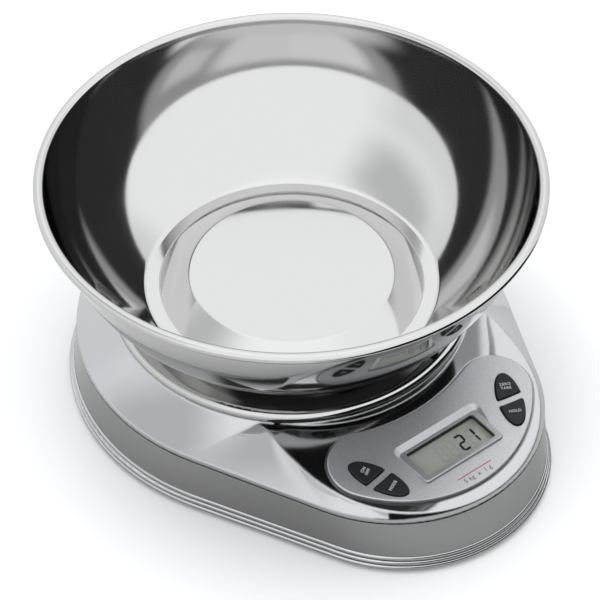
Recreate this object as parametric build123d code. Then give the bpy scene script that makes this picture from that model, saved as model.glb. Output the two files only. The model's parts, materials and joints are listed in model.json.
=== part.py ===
from build123d import *
import os
from math import asin, atan2, cos, hypot, radians, sin, sqrt, tan

# Electronic kitchen scale with a lift-off bowl. Millimetres, +Z up, floor at z = 0.
# Every piece is drawn about the bowl's axis, with the display at -Y, and shifted in save().
os.makedirs("parts", exist_ok=True)

# ---- Overall sizes -------------------------------------------------------------------------
BOWL_RIM_R = 115.0        # outside of the rolled rim
TOTAL_H = 119.0           # floor to the top of the rim
TRAY_TOP = 50.0           # height of the weighing surface
FOOT_PROUD = 2.0          # the feet stand out below the pan

# ---- Bowl ----------------------------------------------------------------------------------
BOWL_SHEET = 1.0
BEAD_R = 2.4              # rolled rim, outside radius of the roll
ROLL_GAP = 0.7            # gap where the roll's edge stops short of the wall
BOWL_FOOT_R = 68.0        # where the round wall starts
BOWL_VALLEY_R = 61.0      # inner edge of the ring it stands on
KICK_R = 47.0             # radius of the raised centre
KICK_H = 8.0              # height of the raised centre
WALL_BULGE = 8.4          # how far the wall stands out from its chord
KNUCKLE_R = 5.0
KICK_FILLET = 2.5

# ---- Weighing tray and its carrier ---------------------------------------------------------
TRAY_R = 84.0
TRAY_SHEET = 1.0
TRAY_SKIRT = 4.0
TRAY_EDGE_R = 3.0
BOSS_GAP = 1.5            # between the tray's boss and the bowl's kick-up
BOSS_DROP = 1.5           # the boss stops this far under the bowl
CARRIER_GAP = 0.3
CARRIER_PLATE = 2.5
CARRIER_DEPTH = 8.0       # tray sheet to the bottom of the carrier's ribs
RIB = 2.0
HUB_LENGTH = 26.0
HUB_WIDTH = 16.0

# ---- Load cell -----------------------------------------------------------------------------
CELL_LENGTH = 80.0
CELL_SIDE = 12.7
CELL_ROOM = 1.1           # between the gauge cover and the well's floor
CELL_HOLE_R = 5.0
CELL_HOLE_X = 9.0
CELL_SCREW_X = (20.0, 35.0)
SPACER = 3.0
M4_R = 2.0
M4_HEAD_R = 3.8
M4_HEAD = 2.6
SCREW_GAP = 0.05
HEAD_GAP = 0.5
GAUGE = (24.0, 9.0, 1.2)
SINK = 0.5                # travel of the tray under full load

# ---- Base outline: a back circle about the bowl's axis joined to a nose circle ---------------
GROOVE_BACK_R = 101.0
GROOVE_NOSE_R = 70.0
GROOVE_NOSE_Y = 72.5
FLARE = 5.0               # back circle's growth from the joint down to the floor
NOSE_FLARE = 7.0          # the nose circle keeps its radius and moves forward by this
TRIM_TOP = 8.6
BEADS = 3
BEAD_STEP = 0.75
BEAD_GROOVE = 1.1
BEAD_ROUND = 0.85
BAND_INSET = 2.3          # band's foot inside the trim's outline
BAND_TOP = 26.9
GROOVE = 0.8              # open joint between the band and the top shell
LAND = 2.4                # upright strip of the top shell above the joint
WALL = 2.5
TONGUE = 1.5
TONGUE_RISE = 1.0
TONGUE_DROP = 4.0
FIT_GAP = 0.3

# ---- Top shell -----------------------------------------------------------------------------
TRAY_OVERHANG = 0.8       # the tray's edge outside the ring round its well
SKIRT_GAP = 1.7           # tray's skirt above the ring
RING_LIP_R = 0.8
WELL_DEPTH = 5.0
NOSE_LEAN = 8.0           # the nose's flank leans in by this from the joint to the shoulder
SHOULDER_Y = 77.0

# ---- Control panel: its plane slopes down to the front ---------------------------------------
PANEL_Y = 100.0           # the panel frame's origin, in front of the bowl's axis
PANEL_Z = 39.5
PANEL_SLOPE = 9.35
PANEL_PROUD = 1.6
PANEL_SUNK = 1.0
PANEL_MARGIN = 5.5        # chrome left between the panel and the joint's outline
LOBE_R = 16.7
LOBE_X = 38.3
PANEL_ROUND = 0.6

# ---- Display -------------------------------------------------------------------------------
WINDOW = (39.0, 16.5)
WINDOW_R = 1.3
WINDOW_S = -14.0
WINDOW_RIM = 3.0          # raised frame round the window
WINDOW_LIP = 0.9
SCOOP_SPREAD = 5.0
LENS = 0.8
LENS_LEDGE = 1.7
HOLDER_DEPTH = 1.8
HOLDER_WALL = 1.5
LCD_LEDGE = 3.2           # glass beyond the window on each side
LCD_GLASS = 2.2
PIN_COUNT = 15
PIN_PITCH = 2.4
PIN_W = 0.7
PIN_T = 0.3
PIN_GRIP = 2.6

# ---- Keys ----------------------------------------------------------------------------------
KEY_X = 38.3
KEY_S = -10.3
KEY_TILT = 64.6
KEY_LONG = 14.4
KEY_SHORT = 5.9
KEY_SLIT = 1.75           # half of the web between the two keys of a pair
KEY_CORNER = 0.9
KEY_GAP = 0.35
KEY_PROUD = 1.0
KEY_ROUND = 0.5
KEY_FLANGE = 0.9
KEY_FLANGE_T = 0.8
KEY_LIFT = 0.5            # flange below the shell's roof
DOME_R = 3.2
DOME_PAD = 0.6

# ---- Circuit board -------------------------------------------------------------------------
BOARD_DEPTH = 8.0         # panel face to the board's top
BOARD_T = 1.6
BOARD_X = 50.0
BOARD_S = (-26.0, 4.0)
BOARD_MARGIN = 0.5        # board's round front inside the panel's
BOARD_SCREWS = ((26.5, 1.0), (26.5, -23.0))
SMALL_R = 1.1
SMALL_HEAD_R = 2.1
SMALL_HEAD = 1.3
PILLAR_R = 2.6

# ---- Base pan, fastenings and battery -------------------------------------------------------
PAN_FLOOR = 2.5
PAN_RIM_H = 6.0
PAN_INSET = 4.0           # pan's wall inside the trim's outline
SCREW_INSET = 8.2         # base screws inside the ring's radius
SCREW_ANGLE = 36.87       # their bearing from the x axis
FRONT_SCREW = 52.0        # the fifth screw in front of the nose's centre
BASE_SCREW_R = 1.45
BASE_HEAD_R = 2.9
BASE_HEAD = 2.0
TOWER_R = 5.0
TOWER_TOP = 11.6
BOSS_R = 3.6
HEAD_SEAT = 8.0
BOSS_START = 11.9
SCREW_TIP = 20.0
FOOT_R = 7.0
FOOT_MARGIN = 3.6         # from a foot's edge to the pan's edge
FOOT_ANGLES = (39.6, -41.0)
FOOT_POCKET = 0.8
BATTERY = (48.5, 26.5, 17.5)
BATTERY_END_X = 21.0
BATTERY_Y = -56.0
BATTERY_GAP = (5.0, 3.7, 0.8)   # room beyond the battery and its studs, across it and over it
BAY_WALL = 1.6
DOOR_T = 2.0
DOOR_GAP = 0.4
HINGE_BARREL_R = 1.4
HINGE_PIN_R = 1.0
HINGE_BORE_R = 1.06
HINGE_INSET = 2.2
HINGE_Z = 3.9
STUD_R = 2.9
STUD_H = 2.6
STUD_Y = 6.35
LEAD_R = 1.1

# ---- Derived places ------------------------------------------------------------------------
FOOT_BACK_R = GROOVE_BACK_R + FLARE
FOOT_NOSE_R = GROOVE_NOSE_R
FOOT_NOSE_Y = GROOVE_NOSE_Y + NOSE_FLARE
NOSE_REACH = FOOT_NOSE_Y + FOOT_NOSE_R
AXIS_Y = (NOSE_REACH - BOWL_RIM_R) / 2
PAN_TOP = FOOT_PROUD + PAN_FLOOR
SHELL_Z = BAND_TOP + GROOVE
RING_R = TRAY_R - TRAY_OVERHANG
RING_TOP = TRAY_TOP - TRAY_SKIRT - SKIRT_GAP
RING_BODY_TOP = RING_TOP - RING_LIP_R
WELL_R = RING_R - 2 * RING_LIP_R
WELL_Z = RING_BODY_TOP - WELL_DEPTH
CELL_TOP = WELL_Z - WALL - CELL_ROOM - GAUGE[2]
CELL_Z = CELL_TOP - CELL_SIDE
SHOULDER_X = GROOVE_NOSE_R - NOSE_LEAN
CARRIER_TOP = TRAY_TOP - TRAY_SHEET
HUB_Z = CELL_TOP + SPACER
HUB_X = sum(CELL_SCREW_X) / 2
PANEL_PLANE = Plane(
    origin=(0, -PANEL_Y, PANEL_Z),
    x_dir=(1, 0, 0),
    z_dir=(0, -sin(radians(PANEL_SLOPE)), cos(radians(PANEL_SLOPE))),
)
AXIS_S = PANEL_Y / cos(radians(PANEL_SLOPE))
PANEL_NOSE_R = GROOVE_NOSE_R - PANEL_MARGIN
PANEL_NOSE_S = (PANEL_Y - GROOVE_NOSE_Y) / cos(radians(PANEL_SLOPE))
BOARD_NOSE_R = PANEL_NOSE_R - BOARD_MARGIN
WINDOW_Y = -PANEL_Y + WINDOW_S * cos(radians(PANEL_SLOPE))
WINDOW_Z = PANEL_Z + WINDOW_S * sin(radians(PANEL_SLOPE))
ROOF = PANEL_PROUD + WALL
BOARD_TOP = -BOARD_DEPTH
BATTERY_Z = HINGE_Z + HINGE_BARREL_R + 0.5
BAY = (
    BATTERY[0] + STUD_H + BATTERY_GAP[0],
    BATTERY[1] + BATTERY_GAP[1],
    BATTERY_Z + BATTERY[2] + BATTERY_GAP[2] - PAN_TOP,
)


def around(r, angle, y):
    """Two places mirrored left and right, at a radius and bearing about (0, y)."""
    x = r * cos(radians(angle))
    return [(side * x, y + r * sin(radians(angle))) for side in (1, -1)]


BASE_SCREWS = around(RING_R - SCREW_INSET, SCREW_ANGLE, 0)
BASE_SCREWS += around(RING_R - SCREW_INSET, -SCREW_ANGLE, 0)
BASE_SCREWS += [(0, -FOOT_NOSE_Y - FRONT_SCREW)]
FOOT_INSET = PAN_INSET + FOOT_R + FOOT_MARGIN
FEET = around(FOOT_BACK_R - FOOT_INSET, FOOT_ANGLES[0], 0)
FEET += around(FOOT_NOSE_R - FOOT_INSET, FOOT_ANGLES[1], -FOOT_NOSE_Y)


def save(name, shape):
    """Write one node, moved so that the row's origin is under the middle of the box."""
    export_step(Pos(0, AXIS_Y, 0) * shape, f"parts/{name}.step")


def box(x0, x1, y0, y1, z0, z1):
    """A block between two opposite corners."""
    mid = ((x0 + x1) / 2, (y0 + y1) / 2, (z0 + z1) / 2)
    return Pos(*mid) * Box(x1 - x0, y1 - y0, z1 - z0)


def rod(x, y, z0, z1, r):
    """An upright cylinder between two heights."""
    return Pos(x, y, (z0 + z1) / 2) * Cylinder(r, z1 - z0)


def compound(shapes):
    """Separate solids kept side by side in one node."""
    return Compound([solid for shape in shapes for solid in shape.solids()])


def turned(section):
    """Spin a section drawn as (radius, height) about the bowl's axis."""
    return revolve(Plane.XZ * section, Axis.Z, 360)


# ---- Outlines ------------------------------------------------------------------------------
def outline(back_r, nose_r, nose_y, side_back, side_nose):
    """Closed outline: back arc, straight side, nose arc, straight side."""
    xb, yb = side_back
    xn, yn = side_nose
    return [
        ThreePointArc((xb, yb), (0, back_r), (-xb, yb)),
        Line((-xb, yb), (-xn, yn)),
        ThreePointArc((-xn, yn), (0, -nose_y - nose_r), (xn, yn)),
        Line((xn, yn), (xb, yb)),
    ]


def hull_edges(back_r, nose_r, nose_y):
    """Outline of two circles and their common tangents."""
    lean = asin((back_r - nose_r) / nose_y)
    side_back = (back_r * cos(lean), -back_r * sin(lean))
    side_nose = (nose_r * cos(lean), -nose_y - nose_r * sin(lean))
    return outline(back_r, nose_r, nose_y, side_back, side_nose)


def shoulder_edges(inset):
    """Outline of the deck's top: the ring and the raised nose that runs into it."""
    back_r = RING_R - inset
    half = SHOULDER_X - inset
    side_back = (half, -sqrt(back_r**2 - half**2))
    return outline(back_r, half, SHOULDER_Y, side_back, (half, -SHOULDER_Y))


def face_of(edges):
    """A flat face inside closed edges."""
    return make_face(edges)


def hull_face(back_r, nose_r, nose_y, inset=0.0):
    """The base outline, drawn in by an inset."""
    return face_of(hull_edges(back_r - inset, nose_r - inset, nose_y))


def foot_face(inset=0.0):
    """Outline of the base where it meets the floor."""
    return hull_face(FOOT_BACK_R, FOOT_NOSE_R, FOOT_NOSE_Y, inset)


def groove_face(inset=0.0):
    """Outline of the base at the joint under the top shell."""
    return hull_face(GROOVE_BACK_R, GROOVE_NOSE_R, GROOVE_NOSE_Y, inset)


def raised(face, z):
    """A face lifted to a height."""
    return Pos(0, 0, z) * face


# ---- Bowl and tray -------------------------------------------------------------------------
def sheet_section(half_profile, sheet, low, high):
    """Half section of a pressed sheet whose outer skin follows a profile from the axis."""
    mirrored = mirror(half_profile, Plane.YZ)
    whole = half_profile + mirrored
    inner = offset(whole, -sheet)
    wide = 2 * BOWL_RIM_R
    keep = Pos(wide / 2, (low + high) / 2) * Rectangle(wide, high - low)
    return (whole - inner) & keep


def corner(face, x, y):
    """The vertex of a section nearest to a point."""
    return sorted(face.vertices(), key=lambda v: hypot(v.X - x, v.Y - y))[0]


def bowl_wall_face():
    """Everything inside the bowl's outer skin, right half, carried above the rim."""
    foot = (BOWL_FOOT_R, TRAY_TOP)
    top_r = BOWL_RIM_R - 2 * BEAD_R + BOWL_SHEET
    top = (top_r, TOTAL_H - BEAD_R)
    kick = TRAY_TOP + KICK_H
    above = TOTAL_H + 4 * BEAD_R
    edges = [
        Line((0, above), (0, kick)),
        Line((0, kick), (KICK_R, kick)),
        Line((KICK_R, kick), (BOWL_VALLEY_R, TRAY_TOP)),
        Line((BOWL_VALLEY_R, TRAY_TOP), foot),
        SagittaArc(foot, top, -WALL_BULGE),
        Line(top, (top_r, above)),
        Line((top_r, above), (0, above)),
    ]
    return make_face(edges)


def make_bowl():
    """Spun bowl with a rolled rim and a kicked-up centre that drops over the tray's boss."""
    face = bowl_wall_face()
    face = fillet(corner(face, BOWL_FOOT_R, TRAY_TOP), KNUCKLE_R)
    face = fillet(corner(face, BOWL_VALLEY_R, TRAY_TOP), KICK_FILLET)
    face = fillet(corner(face, KICK_R, TRAY_TOP + KICK_H), KICK_FILLET)
    wall = sheet_section(face, BOWL_SHEET, 0, TOTAL_H - BEAD_R)
    centre = (BOWL_RIM_R - BEAD_R, TOTAL_H - BEAD_R)
    roll = Pos(*centre) * (Circle(BEAD_R) - Circle(BEAD_R - BOWL_SHEET))
    slot_x = centre[0] - BEAD_R + BOWL_SHEET
    slot = Pos(slot_x + ROLL_GAP / 2, centre[1] - BEAD_R) * Rectangle(ROLL_GAP, BEAD_R * 2)
    return turned(wall + (roll - slot))


def make_weighing_tray():
    """Pressed tray with a turned-down edge and a boss that centres the bowl."""
    boss_top = TRAY_TOP + KICK_H - BOSS_DROP
    slope = (BOWL_VALLEY_R - KICK_R) / KICK_H
    foot_r = BOWL_VALLEY_R - BOSS_GAP
    top_r = foot_r - slope * (boss_top - TRAY_TOP)
    below = TRAY_TOP - 3 * TRAY_SKIRT
    points = [(0, below), (0, boss_top), (top_r, boss_top), (foot_r, TRAY_TOP)]
    points += [(TRAY_R, TRAY_TOP), (TRAY_R, below)]
    face = make_face(Polyline(*points, close=True))
    face = fillet(corner(face, top_r, boss_top), KICK_FILLET)
    face = fillet(corner(face, foot_r, TRAY_TOP), KICK_FILLET)
    face = fillet(corner(face, TRAY_R, TRAY_TOP), TRAY_EDGE_R)
    return turned(sheet_section(face, TRAY_SHEET, TRAY_TOP - TRAY_SKIRT, TOTAL_H))


def hub_block(clearance, z0, z1):
    """The carrier's hub over the beam's free end, or the room it needs."""
    half_x = HUB_LENGTH / 2 + clearance
    half_y = HUB_WIDTH / 2 + clearance
    return box(HUB_X - half_x, HUB_X + half_x, -half_y, half_y, z0, z1)


def make_tray_carrier():
    """Moulded spider: plate, rim, ribs and the hub that stands on the load cell."""
    outer_r = TRAY_R - TRAY_SHEET - TRAY_EDGE_R + TRAY_SHEET - CARRIER_GAP
    bottom = CARRIER_TOP - CARRIER_DEPTH
    plate_z = CARRIER_TOP - CARRIER_PLATE
    carrier = rod(0, 0, plate_z, CARRIER_TOP, outer_r)
    for ring_r in (outer_r - 3 * RIB, outer_r / 2):
        carrier += rod(0, 0, bottom, plate_z, ring_r) - rod(0, 0, bottom, plate_z, ring_r - RIB)
    for turn in range(6):
        arm = box(0, outer_r - 4 * RIB, -RIB / 2, RIB / 2, bottom, plate_z)
        carrier += Rot(0, 0, 60 * turn + 30) * arm
    boss_under = TRAY_TOP + KICK_H - BOSS_DROP - TRAY_SHEET
    prop = rod(0, 0, CARRIER_TOP, boss_under, KICK_R / 2)
    carrier += prop - rod(0, 0, CARRIER_TOP, boss_under, KICK_R / 2 - RIB)
    carrier += hub_block(0, HUB_Z, plate_z)
    seat = HUB_Z + 3 * M4_R / 2
    for x in CELL_SCREW_X:
        carrier -= rod(x, 0, HUB_Z, CARRIER_TOP, M4_R + SCREW_GAP)
        carrier -= rod(x, 0, seat, CARRIER_TOP, M4_HEAD_R + HEAD_GAP)
    return carrier


# ---- Load cell -----------------------------------------------------------------------------
def make_load_cell():
    """Square beam with the twin-hole flexure in its middle and two holes at each end."""
    half = CELL_LENGTH / 2
    side = CELL_SIDE / 2
    beam = box(-half, half, -side, side, CELL_Z, CELL_TOP)
    mid = CELL_Z + side
    for x in (-CELL_HOLE_X, CELL_HOLE_X):
        beam -= Pos(x, 0, mid) * Rot(90, 0, 0) * Cylinder(CELL_HOLE_R, 2 * CELL_SIDE)
    beam -= box(-CELL_HOLE_X, CELL_HOLE_X, -CELL_SIDE, CELL_SIDE, mid - 1.5, mid + 1.5)
    for x in CELL_SCREW_X:
        beam -= rod(x, 0, CELL_Z, CELL_TOP, M4_R + SCREW_GAP)
        beam -= rod(-x, 0, CELL_Z, CELL_TOP, M4_R + SCREW_GAP)
    return beam


def make_gauge_covers():
    """Soft covers over the gauges, above and below the flexure."""
    x, y, t = GAUGE
    upper = box(-x / 2, x / 2, -y / 2, y / 2, CELL_TOP, CELL_TOP + t)
    lower = box(-x / 2, x / 2, -y / 2, y / 2, CELL_Z - t, CELL_Z)
    return compound([upper, lower])


def spacer(sign, z0):
    """A spacer plate with two clearance holes."""
    half_x = HUB_LENGTH / 2
    plate = box(sign * HUB_X - half_x, sign * HUB_X + half_x, -CELL_SIDE / 2, CELL_SIDE / 2, z0, z0 + SPACER)
    for x in CELL_SCREW_X:
        plate -= rod(sign * x, 0, z0, z0 + SPACER, M4_R + SCREW_GAP)
    return plate


def cross_slot(x, y, z, r, depth):
    """A cross recess in a screw head whose face is at z, cut downwards."""
    long, thin = 1.2 * r, 0.3 * r
    return box(x - long / 2, x + long / 2, y - thin / 2, y + thin / 2, z - depth, z) + box(
        x - thin / 2, x + thin / 2, y - long / 2, y + long / 2, z - depth, z
    )


def screw(x, y, seat, tip, shank_r, head_r, head, up):
    """A pan-head screw. up is 1 for a head above its seat and -1 for one below it."""
    face = seat + up * head
    body = rod(x, y, min(seat, face), max(seat, face), head_r)
    body += rod(x, y, min(seat, tip), max(seat, tip), shank_r)
    depth = head / 2
    recess_top = face if up > 0 else face + depth
    return body - cross_slot(x, y, recess_top, head_r, depth)


def make_cell_screws_upper():
    """Two screws down through the hub into the beam's free end."""
    seat = HUB_Z + 3 * M4_R / 2
    tip = CELL_TOP - 4 * M4_R
    return compound(screw(x, 0, seat, tip, M4_R, M4_HEAD_R, M4_HEAD, 1) for x in CELL_SCREW_X)


def make_cell_screws_lower():
    """Two screws up through the pan's pedestal into the beam's fixed end."""
    tip = CELL_Z + 4 * M4_R
    return compound(
        screw(-x, 0, HEAD_SEAT, tip, M4_R, M4_HEAD_R, M4_HEAD, -1) for x in CELL_SCREW_X
    )


# ---- Base trim, pan and band ---------------------------------------------------------------
def end_edges(solid):
    """Edges of a prism that lie in its two end faces."""
    span = solid.bounding_box()
    ends = (span.min.Z, span.max.Z)
    found = []
    for edge in solid.edges():
        low = edge.bounding_box().min.Z
        high = edge.bounding_box().max.Z
        if high - low < 1e-5 and min(abs(low - end) for end in ends) < 1e-5:
            found.append(edge)
    return found


def make_base_trim():
    """Foot ring of stacked rounded beads, each a step inside the one below."""
    pitch = (TRIM_TOP - FOOT_PROUD) / BEADS
    core_inset = BEAD_GROOVE + BEAD_STEP * (BEADS - 1)
    trim = extrude(raised(foot_face(core_inset), FOOT_PROUD), pitch * BEADS)
    for i in range(BEADS):
        bead = extrude(raised(foot_face(BEAD_STEP * i), FOOT_PROUD + i * pitch), pitch)
        trim += fillet(end_edges(bead), BEAD_ROUND)
    return trim - extrude(raised(foot_face(PAN_INSET), FOOT_PROUD), pitch * BEADS)


def band_loft(inset):
    """The band's side wall, from the trim up to the joint."""
    low = raised(foot_face(BAND_INSET + inset), TRIM_TOP)
    high = raised(groove_face(inset), BAND_TOP)
    return loft([low, high], ruled=True)


def make_skirt_band():
    """Leaning side band with a tongue that closes the joint from inside."""
    band = band_loft(0) - band_loft(WALL)
    tongue_out = WALL + FIT_GAP
    low = BAND_TOP - TONGUE_DROP
    height = TONGUE_DROP + GROOVE + TONGUE_RISE
    tongue = extrude(raised(groove_face(tongue_out), low), height)
    tongue -= extrude(raised(groove_face(tongue_out + TONGUE), low), height)
    bridge = extrude(raised(groove_face(WALL / 2), low), TONGUE_DROP)
    bridge -= extrude(raised(groove_face(tongue_out + TONGUE), low), TONGUE_DROP)
    return band + tongue + (bridge & band_loft(WALL / 2))


def base_tower(x, y):
    """A screw tower on the pan's floor."""
    return rod(x, y, PAN_TOP, TOWER_TOP, TOWER_R)


def bay_box(grow, z0, z1):
    """The battery bay, grown sideways."""
    half_x = BAY[0] / 2 + grow
    half_y = BAY[1] / 2 + grow
    return box(-half_x, half_x, BATTERY_Y - half_y, BATTERY_Y + half_y, z0, z1)


def make_base_pan():
    """Bottom cover with its rim, towers, beam pedestal, overload stop and battery bay."""
    pan = extrude(raised(foot_face(PAN_INSET), FOOT_PROUD), PAN_RIM_H)
    pan -= extrude(raised(foot_face(PAN_INSET + WALL), PAN_TOP), PAN_RIM_H)
    for x, y in BASE_SCREWS:
        pan += base_tower(x, y)
    half = HUB_LENGTH / 2 + RIB
    pedestal_top = CELL_Z - SPACER
    pan += box(-HUB_X - half, -HUB_X + half, -HUB_WIDTH / 2, HUB_WIDTH / 2, PAN_TOP, pedestal_top)
    pan += rod(HUB_X, 0, PAN_TOP, CELL_Z - SINK - FIT_GAP, 2 * M4_R)
    bay_top = PAN_TOP + BAY[2]
    pan += bay_box(BAY_WALL, PAN_TOP, bay_top + BAY_WALL)
    pan -= bay_box(0, FOOT_PROUD, bay_top)
    for x, y in BASE_SCREWS:
        pan -= rod(x, y, FOOT_PROUD, HEAD_SEAT, BASE_HEAD_R + HEAD_GAP)
        pan -= rod(x, y, HEAD_SEAT, TOWER_TOP, BASE_SCREW_R + FIT_GAP)
    for x in CELL_SCREW_X:
        pan -= rod(-x, 0, FOOT_PROUD, HEAD_SEAT, M4_HEAD_R + HEAD_GAP)
        pan -= rod(-x, 0, HEAD_SEAT, pedestal_top, M4_R + SCREW_GAP)
    for x, y in FEET:
        pan -= rod(x, y, FOOT_PROUD, FOOT_PROUD + FOOT_POCKET, FOOT_R + FIT_GAP)
    bore_half = BAY[0] / 2 + BAY_WALL
    pan -= hinge_rod(-bore_half, bore_half, HINGE_BORE_R)
    pan -= box(*lead_hole(), bay_top, bay_top + BAY_WALL)
    return pan


def hinge_rod(x0, x1, r):
    """A cylinder on the battery door's hinge axis."""
    y = BATTERY_Y + BAY[1] / 2 - HINGE_INSET
    return Pos((x0 + x1) / 2, y, HINGE_Z) * Rot(0, 90, 0) * Cylinder(r, x1 - x0)


def lead_hole():
    """Where the battery lead leaves through the bay's roof: x and y limits."""
    x = battery_lead_x()
    half = 3 * LEAD_R
    return (x - half, x + half, BATTERY_Y - half, BATTERY_Y + half)


def battery_lead_x():
    """The lead stands over the middle of the snap."""
    return BATTERY_END_X + STUD_H / 2 + DOOR_GAP


def make_battery_door():
    """Door on a barrel hinge with stub pins, stiffened by two ribs."""
    half_x = BAY[0] / 2 - DOOR_GAP
    hinge_y = BATTERY_Y + BAY[1] / 2 - HINGE_INSET
    front_y = BATTERY_Y - BAY[1] / 2 + DOOR_GAP
    bottom = HINGE_Z - HINGE_BARREL_R - 0.2
    door = box(-half_x, half_x, front_y, hinge_y, bottom, bottom + DOOR_T)
    door += hinge_rod(-half_x, half_x, HINGE_BARREL_R)
    pin_x = BAY[0] / 2 + BAY_WALL - DOOR_GAP
    door += hinge_rod(-pin_x, pin_x, HINGE_PIN_R)
    grip = Pos(0, front_y, bottom) * Rot(0, 90, 0) * Cylinder(1.0, BAY[1] / 2)
    return door - grip


def make_rubber_feet():
    """Four feet with rounded edges, seated in shallow pockets."""
    foot = Cylinder(FOOT_R, FOOT_PROUD + FOOT_POCKET)
    low = foot.edges().sort_by(Axis.Z)[0]
    foot = fillet(low, FOOT_POCKET)
    z = (FOOT_PROUD + FOOT_POCKET) / 2
    return compound(Pos(x, y, z) * foot for x, y in FEET)


def make_base_screws():
    """Self-tapping screws that close the base."""
    return compound(
        screw(x, y, HEAD_SEAT, SCREW_TIP, BASE_SCREW_R, BASE_HEAD_R, BASE_HEAD, -1)
        for x, y in BASE_SCREWS
    )


# ---- Top shell -----------------------------------------------------------------------------
def plateau_cut(drop, z_top):
    """Everything above the deck's top, which runs level from the ring and then slopes."""
    slope = tan(radians(PANEL_SLOPE))
    far = 2 * BOWL_RIM_R
    lift = PANEL_Z - PANEL_PROUD - drop
    flat = z_top - drop
    bend_y = -PANEL_Y + (flat - lift) / slope
    points = [(far, flat), (bend_y, flat), (-far, flat + slope * (-far - bend_y))]
    points += [(-far, far), (far, far)]
    face = make_face(Polyline(*points, close=True))
    blend = far / 2
    face = fillet(corner(face, bend_y, flat), blend)
    return extrude(Plane.YZ * face, far, both=True)


def deck_block(inset, low, land_top, crest_z):
    """The deck's solid form: an upright land, then flanks that lean in to the shoulder."""
    land = extrude(raised(groove_face(inset), low), land_top - low)
    foot = raised(groove_face(inset), land_top)
    crest = raised(face_of(shoulder_edges(inset)), crest_z)
    return land + loft([foot, crest], ruled=True)


def make_deck_outer():
    """The outside of the top shell, before its ring, well and panel seat are cut."""
    land_top = SHELL_Z + LAND
    deck = deck_block(0, SHELL_Z, land_top, RING_BODY_TOP)
    return deck - plateau_cut(0, RING_BODY_TOP + 1)


def make_shell_cavity():
    """The hollow under the deck, a wall's thickness inside it."""
    land_top = SHELL_Z + LAND - WALL / 2
    hollow = deck_block(WALL, SHELL_Z - 1, land_top, RING_BODY_TOP)
    hollow -= plateau_cut(WALL, RING_BODY_TOP + 1)
    cup = rod(0, 0, WELL_Z - WALL, TOTAL_H, RING_R + WALL / 2)
    return hollow - cup


def make_top_shell():
    """Chromed deck: ring, well for the tray's carrier, panel seat, bosses and openings."""
    shell = make_deck_outer() - make_shell_cavity()
    shell += rod(0, 0, WELL_Z, RING_BODY_TOP, RING_R)
    lip = Pos(RING_R - RING_LIP_R, RING_BODY_TOP) * Circle(RING_LIP_R)
    shell += turned(lip)
    for x, y in BASE_SCREWS:
        shell += rod(x, y, BOSS_START, RING_BODY_TOP, BOSS_R) & make_boss_room()
    for x, s in pillar_places():
        shell += on_panel(rod(x, s, BOARD_TOP, -PANEL_PROUD - PANEL_SUNK, PILLAR_R))
    shell -= rod(0, 0, WELL_Z, TOTAL_H, WELL_R)
    shell -= hub_block(BOSS_GAP, WELL_Z - 2 * WALL, TOTAL_H)
    shell -= panel_prism(FIT_GAP, -PANEL_PROUD - PANEL_SUNK, TOTAL_H)
    shell -= display_block(DOOR_GAP, -LCD_GLASS - ROOF)
    for x, y in BASE_SCREWS:
        shell -= rod(x, y, BOSS_START, SCREW_TIP + 1, BASE_SCREW_R + SCREW_GAP)
    for x, s in pillar_places():
        shell -= on_panel(rod(x, s, BOARD_TOP, -ROOF - PANEL_SUNK / 2, SMALL_R + SCREW_GAP))
    for side in (-1, 1):
        for upper in (True, False):
            hole = key_face(upper, KEY_GAP + FIT_GAP)
            shell -= on_panel(placed_key(hole, side, -ROOF - WALL, ROOF + WALL))
    return shell


def make_boss_room():
    """Where the screw bosses may stand: up to the middle of the roof or the well's floor."""
    room = deck_block(WALL / 2, BOSS_START, SHELL_Z + LAND, RING_BODY_TOP)
    room -= plateau_cut(WALL / 2 + PANEL_SUNK, RING_BODY_TOP + 1)
    return room - rod(0, 0, WELL_Z - WALL / 2, TOTAL_H, WELL_R)


# ---- Control panel and display ---------------------------------------------------------------
def on_panel(shape):
    """Move a shape drawn on the panel's frame into place."""
    return PANEL_PLANE.location * shape


def panel_edges(grow):
    """Panel outline: nose arc, two lobes and a hollow back that follows the tray."""
    nose_r = PANEL_NOSE_R + grow
    lobe_r = LOBE_R + grow
    lobe_s = PANEL_NOSE_S - sqrt((PANEL_NOSE_R - LOBE_R) ** 2 - LOBE_X**2)
    reach = hypot(LOBE_X, lobe_s - PANEL_NOSE_S)
    nx, ns = LOBE_X / reach, (lobe_s - PANEL_NOSE_S) / reach
    front = (nose_r * nx, PANEL_NOSE_S + nose_r * ns)
    gap = hypot(LOBE_X, AXIS_S - lobe_s)
    bx, bs = -LOBE_X / gap, (AXIS_S - lobe_s) / gap
    back = (LOBE_X + lobe_r * bx, lobe_s + lobe_r * bs)
    turn = (atan2(ns, nx) + atan2(bs, bx)) / 2
    tip = (LOBE_X + lobe_r * cos(turn), lobe_s + lobe_r * sin(turn))
    middle = (0, AXIS_S - (gap - lobe_r))

    def flip(point):
        return (-point[0], point[1])

    return [
        ThreePointArc(flip(front), (0, PANEL_NOSE_S - nose_r), front),
        ThreePointArc(front, tip, back),
        ThreePointArc(back, middle, flip(back)),
        ThreePointArc(flip(back), flip(tip), flip(front)),
    ]


def panel_prism(grow, low, high):
    """A prism on the panel outline between two depths of the panel frame."""
    face = face_of(panel_edges(grow))
    return on_panel(extrude(Pos(0, 0, low) * face, high - low))


def window_block(half_x, low_y, high_y, low_z, high_z):
    """A block about the display's centre, level with the floor."""
    block = box(-half_x, half_x, WINDOW_Y + low_y, WINDOW_Y + high_y, WINDOW_Z + low_z, WINDOW_Z + high_z)
    return block


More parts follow.
